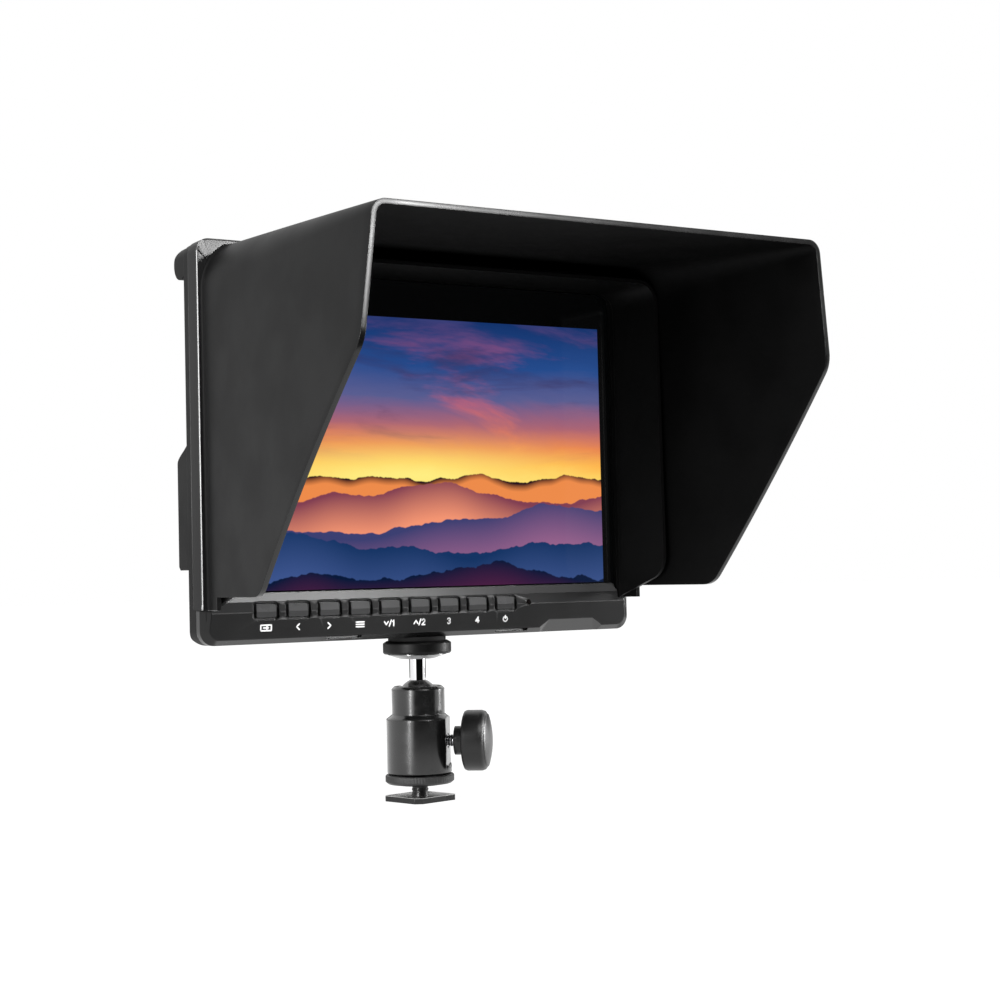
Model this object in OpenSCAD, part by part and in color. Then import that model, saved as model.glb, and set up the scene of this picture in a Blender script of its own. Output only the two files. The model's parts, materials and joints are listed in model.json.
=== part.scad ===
// Camera field monitor with a moulded sun hood on a small ball head with a shoe foot.
// Origin: centre of the shoe foot's underside. +X viewer's right, -Y towards the viewer, +Z up.

/* [Screen and body] */
// Width of the display's active area, a 7 inch 16:10 panel
active_w = 150.8; // [120:0.1:220]
// Height of the display's active area
active_h = 94.2; // [75:0.1:138]
// Height of the active area's lower edge above the body's underside
screen_z = 17.5; // [15:0.1:25]
// Black margin beside the active area
glass_side = 4.6; // [2:0.1:12]
// Black margin above the active area
glass_over = 12.9; // [4:0.1:20]
// Width of the case beside the glass
side_rim = 5.2; // [5:0.1:12]
// Height of the case above the glass
top_rim = 8.8; // [8:0.1:16]
// Depth of the body at its thin edge
slab_d = 11.7; // [10:0.1:16]
// Depth of the body over its rear bulge
bulge_d = 21; // [18:0.5:30]
// Radius of the body's upper corners
edge_r = 4.5; // [2:0.5:8]
// Radius of the body's lower corners
foot_r = 5; // [2:0.1:8]
// Width of the bevel along the chin's ends
chin_side = 3.4; // [2:0.1:5]
// Height of the bevel along the chin's lower edge
chin_low = 2.8; // [1:0.1:4]
// Depth of the front bezel, where it meets the rear cover
seam_y = 5.6; // [5:0.1:8]
// Wall thickness of the rear cover
wall = 2; // [1.5:0.1:3]
// Distance of the glass front behind the chin's front
glass_y = 3.2; // [2:0.1:4]
// Thickness of the cover glass
glass_t = 1; // [0.7:0.1:1.5]
// Radius of the round rail along the rear's upper edge
rail_r = 5.4; // [4:0.1:8]

/* [Keys] */
// Distance between neighbouring keys
key_pitch = 11.64; // [10:0.01:16]
// Distance of the first key from the case's left side
key_x0 = 22.5; // [18:0.1:45]
// Height of the keys above the body's underside
key_z = 11; // [9:0.1:13]
// Width of a key cap
key_w = 6.9; // [5:0.1:9]
// Height of a key cap
key_h = 4.4; // [3:0.1:6]
// Gap around a key cap
key_gap = 0.25; // [0.15:0.05:0.4]
// How far a key is pressed
key_travel = 0.4; // [0.2:0.1:1]

/* [Sun hood] */
// How far the hood's roof reaches in front of the body
hood_len = 114.9; // [60:0.1:160]
// Fall of the roof from the frame to its front edge
hood_fall = 7.6; // [0:0.1:15]
// Wall thickness of the hood
hood_wall = 1.6; // [1.2:0.1:3]
// How far the hood's root is inside the body's side, near the roof
hood_root_in = 1.6; // [1.4:0.1:6]
// How far the hood's root is inside the body's side, at its lower edge
hood_root_low_in = 2.2; // [1.4:0.1:6]
// How far the roof's front corners are inside the body's side
hood_front_in = 4.55; // [0:0.05:12]
// How far the side panel's plane is outside the body's side, at the front and low down
hood_flare = 7.5; // [0:0.1:20]
// Height of the side panels' lower edge above the body's underside
hood_low_z = 16; // [12:0.1:40]
// Length of the side panels' lower edge
hood_low_len = 48.7; // [20:0.1:100]
// Drop from the body's top to where the upright front edge turns into the slanting edge
hood_knee_drop = 47.2; // [20:0.1:80]
// Corner radius of the hood at the frame
hood_root_r = 16.5; // [5:0.5:20]
// Corner radius of the hood at its front
hood_front_r = 4.5; // [2:0.5:15]
// Radius of the two corners along the side panel's edge
hood_knee_r = 10; // [4:0.5:20]
// How far the inner sleeve reaches forward
sleeve_len = 29; // [10:0.5:40]
// Wall thickness of the inner sleeve
sleeve_t = 1.2; // [0.8:0.1:2]
// Corner radius inside the sleeve
sleeve_r = 7; // [2:0.5:8]
// Height of the frame's lower ends above the body's underside
frame_z = 11.7; // [10:0.1:16]
// Depth of the frame's band around the body
band_d = 7.5; // [5:0.1:9]

/* [Ball head] */
// Height of the monitor's underside above the shoe foot's underside
deck_z = 57.6; // [50:0.1:80]
// Distance of the ball head's axis behind the body's front
axis_y = 11; // [8:0.1:14]
// Radius of the ball
ball_r = 7; // [5:0.1:9]
// Height of the ball's centre
ball_z = 35.9; // [30:0.1:45]
// Gap between the ball and its seat
seat_gap = 0.3; // [0.2:0.05:0.5]
// Radius of the polished stem
stem_r = 2.9; // [2:0.1:4]
// Radius of the housing's wide lower part
house_r = 11.4; // [9:0.1:16]
// Radius of the housing's upper part
neck_r = 9.35; // [8:0.1:14]
// Radius of the round plate under the monitor
disc_r = 12.05; // [10:0.1:18]
// Width of the slot that lets the stem drop to one side
notch_w = 6.6; // [6:0.1:9]
// Radius of the clamp knob
knob_r = 10.6; // [8:0.1:16]
// Direction of the clamp knob, turned from +X
knob_turn = -40; // [-180:1:180]
// Radius of the locking ring over the foot
ring_r = 12.1; // [9:0.1:18]
// Width and length of the shoe foot's plate
foot_w = 18.3; // [18:0.1:18.6]
// Thickness of the shoe foot's plate
foot_t = 2; // [1.8:0.05:2]
// Turn of the foot's plate about the upright axis
foot_turn = 13; // [-45:1:45]
// Radius of a quarter inch tripod thread
quarter_r = 3.1; // [3:0.05:3.2]
// Running gap between turning parts
run_gap = 0.05; // [0.02:0.01:0.1]

/* [Hidden] */
$fn = 48;
eps = 0.01;
glass_x = active_w / 2 + glass_side;
glass_top = screen_z + active_h + glass_over;
half_w = glass_x + side_rim;
body_w = 2 * half_w;
body_h = glass_top + top_rim;
hood_root_x = half_w - hood_root_in;
hood_root_low_x = half_w - hood_root_low_in;
hood_front_x = half_w - hood_front_in;
hood_front_low_x = half_w + hood_flare;
hood_knee_z = body_h - hood_knee_drop;
// the hood's frame wraps a step in the body's sides and top
step_x = half_w - 1.5;
step_z = body_h - 1.5;
step_y = band_d + 0.1;
shoulder_z = frame_z - 0.1;
band_out = 0.3;
inner_y = bulge_d - wall;
// rear face of the main board, which the sockets stand on, and the sockets' height over it
board_y = inner_y - 6.4;
board_t = 1.6;
socket_h = 5.6;
phone_y = board_y + 2.8;
dc_y = board_y + 2.4;
band_lo = 25;
band_hi = 62;
core_x = half_w - 33.2;
core_hi = body_h - 11.4;
boss_x = 17;
rail_y = bulge_d - 0.6 - rail_r;
rail_z = body_h - 0.8 - rail_r;
hdmi_x = [-half_w + 19.2, -half_w + 41.2];
phone_x = half_w - 41.2;
dc_x = half_w - 21.2;
pocket_y = bulge_d - 0.9;
plate_h = 74;
plate_z0 = core_hi - 12 - plate_h;
plate_x = 22.8;
key_y_in = 2.3;
key_first = key_x0 - half_w;
key_last = key_first + 8 * key_pitch;
led_x = key_last + 9.8;
// screw positions on the rear, x and z
case_points = [[half_w - 9.2, 7.5], [half_w - 4.8, band_hi + 14], [half_w - 4.8, body_h - 21.4]];

// Profile helpers

function arc_pts(c, r, a0, a1, n) =
  [for (i = [0 : n]) c + r * [cos(a0 + (a1 - a0) * i / n), sin(a0 + (a1 - a0) * i / n)]];

function unit(v) = v / norm(v);

// points of a rounded corner b between the lines to a and c
function corner(a, b, c, r, n = 8) =
  let (u = unit(a - b), w = unit(c - b), h = acos(u * w) / 2,
    o = b + unit(u + w) * (r / sin(h)), p = b + u * (r / tan(h)), q = b + w * (r / tan(h)),
    a0 = atan2(p[1] - o[1], p[0] - o[0]), a1 = atan2(q[1] - o[1], q[0] - o[0]),
    d = ((a1 - a0 + 540) % 360) - 180)
  arc_pts(o, r, a0, a0 + d, n);

// moves a shape from the monitor's own frame into the part's frame
module at_monitor() {
  translate([0, -axis_y, deck_z])
    children();
}

// extrudes a front view shape between two depths
module slab_y(y0, y1) {
  translate([0, y1, 0])
    rotate([90, 0, 0])
      linear_extrude(y1 - y0)
        children();
}

// extrudes a side view shape (depth, height) across the width
module side_x(x0, x1) {
  translate([x0, 0, 0])
    rotate([90, 0, 90])
      linear_extrude(x1 - x0)
        children();
}

module box(x0, x1, y0, y1, z0, z1) {
  translate([x0, y0, z0])
    cube([x1 - x0, y1 - y0, z1 - z0]);
}

// places children along the knob's axis, which becomes their +Z
module along_knob() {
  translate([0, 0, 20.9])
    rotate([0, 0, knob_turn])
      rotate([0, 90, 0])
        children();
}

// a coarse screw thread as a turned zigzag
module threaded_rod(r, pitch, len) {
  n = floor(len / pitch);
  pts = [for (i = [0 : n - 1]) each [[r, i * pitch + 0.25 * pitch], [r - 0.32, i * pitch + 0.75 * pitch]]];
  rotate_extrude()
    polygon(concat([[0, 0], [r - 0.32, 0]], pts, [[r - 0.32, len], [0, len]]));
}

// outline of the whole body from the front, with its lower corners rounded down to the underside
module body_outline(g = 0, zlow = 0) {
  w = half_w - g;
  top = body_h - g;
  r = edge_r - g * 0.7;
  base = max(zlow, foot_r);
  union() {
    translate([-w, base])
      square([2 * w, top - r - base]);
    translate([-(w - r), base])
      square([2 * (w - r), top - base]);
    for (s = [-1, 1])
      translate([s * (w - r), top - r])
        circle(r);
    if (zlow < foot_r) {
      translate([-(w - foot_r), 0])
        square([2 * (w - foot_r), base + 1]);
      for (s = [-1, 1])
        translate([s * (w - foot_r), foot_r])
          circle(foot_r);
    }
  }
}

// Ball head: the foot and the housing

module foot_plate() {
  color([0.72, 0.72, 0.7])
    rotate([0, 0, foot_turn])
      difference() {
        linear_extrude(foot_t)
          polygon([[-foot_w / 2 + 2, -foot_w / 2], [foot_w / 2 - 1, -foot_w / 2],
            [foot_w / 2, -foot_w / 2 + 1], [foot_w / 2, foot_w / 2 - 1],
            [foot_w / 2 - 1, foot_w / 2], [-foot_w / 2 + 1, foot_w / 2],
            [-foot_w / 2, foot_w / 2 - 1], [-foot_w / 2, -foot_w / 2 + 2]]);
        translate([0, 0, 1.2])
          cylinder(r = 3, h = 1);
      }
}

module foot_stud() {
  color([0.12, 0.12, 0.12])
    translate([0, 0, 1.2])
      union() {
        cylinder(r = 2.95, h = 1.3);
        translate([0, 0, 1.2])
          threaded_rod(3, 1.27, 9.6);
        translate([0, 0, 8.4])
          cylinder(r = 2.95, h = 4.4);
      }
}

module base_plug() {
  color([0.15, 0.15, 0.15])
    difference() {
      translate([0, 0, 9.6])
        cylinder(r = 9, h = 4.4);
      translate([0, 0, 9])
        cylinder(r = 3, h = 5.2);
    }
}

module ball_housing() {
  color([0.1, 0.1, 0.1])
    difference() {
      rotate_extrude()
        polygon([[0, 9.6], [house_r - 0.5, 9.6], [house_r, 10.1], [house_r, 28.8],
          [neck_r, 30.4], [neck_r, 39.2], [neck_r - 1, 40.2], [0, 40.2]]);
      translate([0, 0, 9])
        cylinder(r = 9, h = 5);
      translate([0, 0, 13.9])
        cylinder(r = 7.5, h = ball_z - 13.9);
      translate([0, 0, ball_z])
        sphere(r = ball_r + seat_gap);
      // flared mouth over the ball
      translate([0, 0, ball_z + 3.5])
        cylinder(r1 = 5.9, r2 = 7, h = 1);
      // slot at the back for the stem
      translate([0, 0, ball_z])
        rotate([-90, 0, 0])
          cylinder(r = notch_w / 2, h = 15);
      box(-notch_w / 2, notch_w / 2, 0, 15, ball_z, ball_z + 6);
      // round flat and hole for the clamp screw
      along_knob()
        translate([0, 0, 10.4])
          cylinder(r = 9.2, h = 4);
      along_knob()
        cylinder(r = 2.6, h = 14);
    }
}

module plunger() {
  color([0.85, 0.84, 0.8])
    difference() {
      translate([0, 0, 14.6])
        cylinder(r = 7.2, h = 17);
      translate([0, 0, ball_z])
        sphere(r = ball_r + seat_gap);
      along_knob()
        translate([0, 0, 3.4])
          cylinder(r = 3.1, h = 6);
    }
}

module clamp_screw() {
  color([0.7, 0.7, 0.72])
    along_knob()
      union() {
        translate([0, 0, 4])
          cylinder(r1 = 0.6, r2 = 1.9, h = 2);
        translate([0, 0, 6])
          threaded_rod(2.2, 0.8, 10.3);
      }
}

module clamp_knob() {
  color([0.17, 0.17, 0.17])
    along_knob()
      difference() {
        union() {
          translate([0, 0, 13])
            cylinder(r = 5.05, h = 3.5);
          rotate_extrude()
            intersection() {
              polygon([[0, 16.3], [knob_r - 1.2, 16.3], [knob_r - 0.35, 16.65], [knob_r, 17.5],
                [knob_r, 22.6], [knob_r - 0.4, 23.7], [knob_r - 1.4, 24.4], [knob_r - 1.4, 27], [0, 27]]);
              translate([0, 26 - 30])
                circle(30, $fn = 96);
            }
        }
        translate([0, 0, 12])
          cylinder(r = 2.2, h = 4.3);
      }
}

module lock_ring() {
  n = 72;
  color([0.16, 0.16, 0.16])
    difference() {
      intersection() {
        translate([0, 0, 6.2])
          linear_extrude(3.1)
            polygon([for (i = [0 : 2 * n - 1])
              (ring_r - (i % 2) * 0.22) * [cos(i * 180 / n), sin(i * 180 / n)]]);
        rotate_extrude()
          polygon([[0, 6.2], [ring_r - 0.9, 6.2], [ring_r + 0.2, 7.2], [ring_r + 0.2, 8.7],
            [ring_r - 0.4, 9.3], [0, 9.3]]);
      }
      translate([0, 0, 6])
        cylinder(r = 3.35, h = 4);
    }
}

module ring_washer() {
  color([0.08, 0.08, 0.08])
    difference() {
      translate([0, 0, 5.7])
        cylinder(r = 8, h = 0.5);
      translate([0, 0, 5])
        cylinder(r = 3.35, h = 2);
    }
}

// Ball head: the parts that tilt and turn

module ball() {
  color([0.8, 0.8, 0.82])
    translate([0, 0, ball_z])
      sphere(r = ball_r);
}

module ball_stem() {
  color([0.8, 0.8, 0.82])
    difference() {
      translate([0, 0, ball_z + 5.6])
        cylinder(r = stem_r, h = 55.2 - ball_z - 5.6);
      translate([0, 0, ball_z])
        sphere(r = ball_r + run_gap);
    }
}

module mount_disc() {
  color([0.09, 0.09, 0.09])
    difference() {
      rotate_extrude()
        polygon([[0, 51.6], [disc_r - 0.5, 51.6], [disc_r, 52.1], [disc_r, 55.4],
          [disc_r - 1.3, 56.2], [0, 56.2]]);
      translate([0, 0, 51])
        cylinder(r = stem_r + run_gap, h = 4.3);
      translate([0, 0, 55.3])
        cylinder(r = quarter_r + 0.05, h = 1);
    }
}

module disc_cup() {
  color([0.8, 0.8, 0.82])
    difference() {
      rotate_extrude()
        polygon([[0, 49.9], [6.2, 49.9], [10.3, 51.3], [10.3, 51.6], [0, 51.6]]);
      translate([0, 0, 49])
        cylinder(r = stem_r + run_gap, h = 4);
    }
}

module rubber_pad() {
  color([0.06, 0.06, 0.06])
    difference() {
      translate([0, 0, 56.2])
        cylinder(r = 10.2, h = deck_z - 56.2);
      translate([0, 0, 56])
        cylinder(r = quarter_r + 0.3, h = 3);
    }
}

module tripod_screw() {
  color([0.75, 0.75, 0.76])
    union() {
      translate([0, 0, 55.3])
        cylinder(r = quarter_r, h = 1.3);
      translate([0, 0, 56.5])
        threaded_rod(quarter_r, 1.27, 7.3);
    }
}

module thread_insert() {
  color([0.75, 0.6, 0.3])
    difference() {
      translate([0, 0, deck_z])
        cylinder(r = 4.3, h = 7.5);
      translate([0, 0, deck_z - 1])
        cylinder(r = quarter_r + 0.08, h = 7.9);
    }
}

// Monitor: the two halves of the case

// side view of the chin: lower facet, ridge, upper facet, slope to the glass
module chin_profile() {
  polygon([[1, -0.1], [0, 10.5], [0.7, 14], [glass_y, screen_z - 0.5],
    [glass_y + glass_t, screen_z - 0.5], [glass_y + glass_t, 15], [seam_y, 15], [seam_y, -0.1]]);
}

// block with a bevel along its lower front edge and its ends, rounded where they meet
module chin_bevel() {
  hull() {
    slab_y(-0.2, -0.1)
      union() {
        translate([-half_w + chin_side, chin_low + 3])
          square([2 * (half_w - chin_side), shoulder_z + 2]);
        for (s = [-1, 1])
          translate([s * (half_w - chin_side - 3), chin_low + 3])
            circle(3);
      }
    slab_y(2.6, seam_y)
      intersection() {
        body_outline();
        translate([-half_w - 1, -1])
          square([body_w + 2, shoulder_z + 8]);
      }
  }
}

module key_at(i) {
  translate([key_first + key_pitch * i, 0, key_z])
    children();
}

module round_slot(w, h, r, y0, y1) {
  slab_y(y0, y1)
    union() {
      square([w - 2 * r, h], center = true);
      square([w, h - 2 * r], center = true);
      for (sx = [-1, 1])
        for (sz = [-1, 1])
          translate([sx * (w / 2 - r), sz * (h / 2 - r)])
            circle(r, $fn = 24);
    }
}

module front_bezel() {
  color([0.16, 0.16, 0.16])
    at_monitor()
      union() {
        difference() {
          union() {
            // chin between the hood frame's two ends
            side_x(-glass_x + 0.3, glass_x - 0.3)
              intersection() {
                chin_profile();
                translate([-1, shoulder_z - 1])
                  square([9, 20]);
              }
            // full width part of the chin below the hood frame, with its bevels
            intersection() {
              chin_bevel();
              side_x(-half_w - 1, half_w + 1)
                chin_profile();
              translate([-half_w - 1, -1, -1])
                cube([body_w + 2, 9, shoulder_z + 1]);
            }
            // rails at the sides and the top, under the hood frame
            difference() {
              slab_y(1.2, seam_y)
                body_outline(1.5, 8);
              box(-glass_x - 0.05, glass_x + 0.05, 0, 9, 0, glass_top + 0.1);
            }
            // ledge that carries the glass
            difference() {
              slab_y(glass_y + glass_t, seam_y)
                body_outline(1.5, 8);
              box(-glass_x + 2.4, glass_x - 2.4, 0, 9, 0, glass_top - 6.5);
            }
          }
          // hollow behind the keys
          box(key_first - 9.3, led_x + 11.8, key_y_in, 9, 3, 14.3);
          // key openings with their shallow surrounds
          for (i = [0 : 8])
            key_at(i) {
              round_slot(9.4, 6.1, 1.4, -2, 1.1);
              round_slot(key_w + 2 * key_gap, key_h + 2 * key_gap, 0.7, 0, 4);
            }
          // light window
          translate([led_x, 0, key_z])
            rotate([90, 0, 0])
              translate([0, 0, -4])
                cylinder(r = 1, h = 6, $fn = 24);
          // two short slots in the lower bevel
          for (s = [-1, 1])
            box(s * 33.5 - 6.7, s * 33.5 + 6.7, -1, 3, 0.8, 1.8);
          // shallow scoop in the lower bevel
          hull() {
            slab_y(-1, 0.6)
              polygon([[half_w - 35.8, 4.6], [half_w - 16.9, 4.6], [half_w - 12.6, 2.1],
                [half_w - 12.2, -0.5], [half_w - 40.4, -0.5], [half_w - 40, 2.1]]);
            box(half_w - 38, half_w - 14.8, -1, 3.7, -0.4, -0.3);
          }
        }
        // posts for the key board
        for (x = [key_first - 7.3, key_first + 4.5 * key_pitch, led_x + 9.8])
          translate([x, 0, 5.2])
            rotate([-90, 0, 0])
              translate([0, 0, key_y_in - 0.2])
                cylinder(r = 1.1, h = 5.2 - key_y_in + 0.2, $fn = 24);
        // posts for the case screws
        for (s = [-1, 1])
          for (p = case_points)
            translate([s * p[0], 0, p[1]])
              rotate([-90, 0, 0])
                translate([0, 0, seam_y - 0.2])
                  difference() {
                    cylinder(r = 1.9, h = slab_d - wall - seam_y + 0.2, $fn = 24);
                    translate([0, 0, 1.2])
                      cylinder(r = 0.9, h = 9, $fn = 24);
                  }
      }
}

// solid of the rear bulge behind the thin part of the case
module rear_mass() {
  // lower band across the whole width, with a soft S shaped shoulder above it
  side_x(-half_w + 0.6, half_w - 0.6)
    polygon(concat([[step_y, band_lo], [bulge_d - 1.2, band_lo], [bulge_d, band_lo + 1.2]],
      [for (i = [0 : 10])
        let (t = i / 10)
        [bulge_d + (slab_d - bulge_d) * (3 * t * t - 2 * t * t * t), band_hi - 1.3 + 7.1 * t]],
      [[step_y, band_hi + 5.8]]));
  // middle block for the battery plate
  box(-core_x, core_x, step_y, bulge_d, band_lo, core_hi);
}

// round rail along the top, with a flat slope down to it from the case
module top_rail() {
  intersection() {
    slab_y(step_y, bulge_d)
      body_outline(0.3);
    union() {
      translate([0, rail_y, rail_z])
        rotate([0, 90, 0])
          cylinder(r = rail_r, h = body_w, center = true);
      side_x(-half_w, half_w)
        polygon([[step_y, body_h], [rail_y + 0.56, rail_z + rail_r - 0.03], [rail_y, rail_z],
          [slab_d, rail_z - 4], [step_y, rail_z - 4]]);
    }
  }
}

module rear_cover() {
  color([0.17, 0.17, 0.17])
    at_monitor()
      difference() {
        union() {
          // thin part of the case
          intersection() {
            slab_y(step_y, slab_d)
              body_outline();
            linear_extrude(body_h)
              polygon([[-half_w, 4], [half_w, 4], [half_w, slab_d - 0.4], [half_w - 0.4, slab_d],
                [-half_w + 0.4, slab_d], [-half_w, slab_d - 0.4]]);
            side_x(-half_w, half_w)
              polygon([[4, 0], [slab_d - 2, 0], [slab_d, 2], [slab_d, body_h], [4, body_h]]);
          }
          slab_y(seam_y, step_y)
            body_outline(1.5, 8);
          slab_y(seam_y, step_y)
            intersection() {
              body_outline();
              translate([-half_w, 0])
                square([body_w, shoulder_z]);
            }
          rear_mass();
          top_rail();
          // block around the tripod thread
          box(-boss_x, boss_x, seam_y, bulge_d, 0, band_lo + 1);
        }
        // inside of the thin part
        box(-half_w + 2.9, half_w - 2.9, 0, slab_d - wall, 10.5, body_h - 5.5);
        box(-half_w + 6.7, -boss_x - wall, 0, slab_d - wall, 2.5, 11);
        box(boss_x + wall, half_w - 6.7, 0, slab_d - wall, 2.5, 11);
        box(-boss_x - 3, boss_x + 3, 0, 6.7, 3, 11);
        // inside of the band and the middle block
        box(-half_w + 2.6, half_w - 2.6, 6, inner_y, band_lo + wall, band_hi - 1.4);
        box(-core_x + wall, core_x - wall, 6, inner_y, band_lo + wall, core_hi - wall);
        // hole for the thread insert
        translate([0, axis_y, -1])
          cylinder(r = 4.3, h = 8.5);
        // pocket for the battery plate and hole for its latch
        box(-plate_x - 0.1, plate_x + 0.1, pocket_y, 30, plate_z0 - 0.1, plate_z0 + plate_h + 0.1);
        box(-16.5, -6.5, 10, 30, plate_z0 + 5.3, plate_z0 + 12.3);
        // air slots beside the battery plate
        for (s = [-1, 1])
          for (i = [0 : 5])
            box(s * 37 - 9.4 + i * 3.4, s * 37 - 7.8 + i * 3.4, 10, 30, band_hi + 12, core_hi - 10);
        // socket openings in the band's underside
        for (x = hdmi_x)
          box(x - 7.5, x + 7.5, board_y, board_y + socket_h, 20, 30);
        translate([phone_x, phone_y, 20])
          cylinder(r = 2.8, h = 9);
        translate([dc_x, dc_y, 20])
          cylinder(r = 3.9, h = 9);
        // case screw holes and seats
        for (s = [-1, 1])
          for (p = case_points)
            translate([s * p[0], 0, p[1]])
              rotate([-90, 0, 0]) {
                cylinder(r = 1.2, h = 20, $fn = 24);
                translate([0, 0, slab_d - 1])
                  cylinder(r = 2.4, h = 9, $fn = 24);
              }
      }
}

module board_posts() {
  px = core_x - 12;
  pz = core_hi - 18;
  for (p = [[-half_w + 15.2, 44], [-px, pz], [px, pz], [core_x - 4, 44]])
    translate([p[0], 0, p[1]])
      rotate([-90, 0, 0])
        translate([0, 0, board_y])
          cylinder(r = 2, h = inner_y - board_y, $fn = 24);
}

// Monitor: the display

module glass_border() {
  color([0.02, 0.02, 0.02])
    at_monitor()
      difference() {
        box(-glass_x, glass_x, glass_y, glass_y + glass_t, screen_z - 0.45, glass_top);
        box(-active_w / 2, active_w / 2, 0, 9, screen_z, screen_z + active_h);
      }
}

module display_window() {
  color([0.2, 0.3, 0.6])
    at_monitor()
      box(-active_w / 2, active_w / 2, glass_y, glass_y + glass_t, screen_z, screen_z + active_h);
}

module lcd_panel() {
  color([0.6, 0.6, 0.62])
    at_monitor()
      box(-glass_x + 2.5, glass_x - 2.5, glass_y + glass_t, glass_y + glass_t + 2.7,
        screen_z - 2.3, glass_top - 6.6);
}

module main_board() {
  color([0.05, 0.3, 0.15])
    at_monitor()
      union() {
        box(-half_w + 7.2, core_x, board_y - board_t, board_y, band_lo + 5, band_hi - 5);
        box(-core_x + 6, core_x - 6, board_y - board_t, board_y, band_hi - 5.5, core_hi - 10);
        board_posts();
      }
}

module key_board() {
  color([0.05, 0.3, 0.15])
    at_monitor()
      box(key_first - 8.8, led_x + 11.3, 5.2, 6.4, 3.4, 14.1);
}

module tact_switches() {
  color([0.7, 0.7, 0.7])
    at_monitor()
      for (i = [0 : 8])
        key_at(i) {
          box(-2.4, 2.4, 4, 5.2, -2.4, 2.4);
          rotate([-90, 0, 0])
            translate([0, 0, 3.6])
              cylinder(r = 1.1, h = 0.5, $fn = 24);
        }
}

// Monitor: the keys and the light window

// cap with two facets that follow the chin, a flange behind the wall and a short stem
module key_cap(i) {
  color([0.2, 0.2, 0.2])
    at_monitor()
      key_at(i) {
        intersection() {
          round_slot(key_w, key_h, 0.5, -1, key_y_in + 0.1);
          side_x(-key_w, key_w)
            polygon([[0.35, -key_h], [0.1, -key_h / 2], [-0.2, -0.3], [0.3, key_h / 2],
              [0.9, key_h], [key_y_in + 0.1, key_h], [key_y_in + 0.1, -key_h]]);
        }
        box(-key_w / 2 - 0.9, key_w / 2 + 0.9, key_y_in, key_y_in + 0.6, -key_h / 2 - 0.7, key_h / 2 + 0.7);
        rotate([-90, 0, 0])
          translate([0, 0, key_y_in])
            cylinder(r = 1, h = 0.85, $fn = 24);
      }
}

module key_1() {
  key_cap(0);
}

module key_2() {
  key_cap(1);
}

module key_3() {
  key_cap(2);
}

module key_4() {
  key_cap(3);
}

module key_5() {
  key_cap(4);
}

module key_6() {
  key_cap(5);
}

module key_7() {
  key_cap(6);
}

module key_8() {
  key_cap(7);
}

module key_9() {
  key_cap(8);
}

module status_led() {
  color([0.5, 0.1, 0.1])
    at_monitor()
      translate([led_x, 0, key_z])
        rotate([-90, 0, 0])
          translate([0, 0, 0.3])
            cylinder(r = 1, h = 4.9, $fn = 24);
}

// Monitor: the rear

// shallow plate with two hooked rails for a camcorder battery
module battery_plate() {
  zt = plate_z0 + plate_h;
  color([0.14, 0.14, 0.14])
    at_monitor()
      difference() {
        union() {
          box(-plate_x, plate_x, pocket_y, pocket_y + 1.6, plate_z0, zt);
          for (s = [-1, 1]) {
            box(min(s * 19.4, s * 22), max(s * 19.4, s * 22), pocket_y + 1, pocket_y + 4,
              plate_z0 + 3, zt - 6);
            for (z = [plate_z0 + 16, zt - 22])
              box(min(s * 17.9, s * 22), max(s * 17.9, s * 22), pocket_y + 3.1, pocket_y + 4, z, z + 10);
          }
          // stop at the lower end
          box(-22, 22, pocket_y + 1, pocket_y + 4, plate_z0 + 1, plate_z0 + 3.6);
        }
        // latch opening and contact slots
        box(-16.5, -6.5, 0, 30, plate_z0 + 5.3, plate_z0 + 12.3);
        for (i = [0 : 2])
          box(i * 6 - 2.2, i * 6 - 0.2, 0, 30, plate_z0 + 5, plate_z0 + 14);
      }
}

module battery_contacts() {
  color([0.8, 0.65, 0.3])
    at_monitor()
      for (i = [0 : 2])
        box(i * 6 - 2.2, i * 6 - 0.2, pocket_y, pocket_y + 2.4, plate_z0 + 5, plate_z0 + 14);
}

module battery_latch() {
  color([0.25, 0.25, 0.25])
    at_monitor()
      union() {
        box(-16.2, -6.8, inner_y - 0.3, pocket_y + 2.8, plate_z0 + 5.6, plate_z0 + 12);
        box(-17.6, -5.4, inner_y - 1.3, inner_y, plate_z0 + 4.3, plate_z0 + 13.3);
      }
}

module hdmi_sockets() {
  color([0.6, 0.6, 0.62])
    at_monitor()
      for (x = hdmi_x)
        difference() {
          box(x - 7.5, x + 7.5, board_y, board_y + socket_h, band_lo, 36);
          difference() {
            box(x - 7, x + 7, board_y + 0.5, board_y + socket_h - 0.5, band_lo - 1, 35);
            box(x - 5, x + 5, board_y + 2.1, board_y + 3.5, band_lo + 1, 36);
          }
        }
}

module dc_jack() {
  color([0.1, 0.1, 0.1])
    at_monitor()
      translate([dc_x, dc_y, band_lo])
        union() {
          difference() {
            cylinder(r = 3.9, h = 11);
            translate([0, 0, -1])
              cylinder(r = 3.15, h = 10);
          }
          translate([0, 0, 1])
            cylinder(r = 1.05, h = 9, $fn = 24);
        }
}

module phone_jack() {
  color([0.1, 0.1, 0.1])
    at_monitor()
      difference() {
        union() {
          translate([phone_x, phone_y, band_lo])
            cylinder(r = 2.8, h = 4);
          box(phone_x - 3.4, phone_x + 3.4, board_y, board_y + socket_h, band_lo + wall + 0.1,
            band_lo + 14);
        }
        translate([phone_x, phone_y, band_lo - 1])
          cylinder(r = 1.8, h = 13);
      }
}

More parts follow.
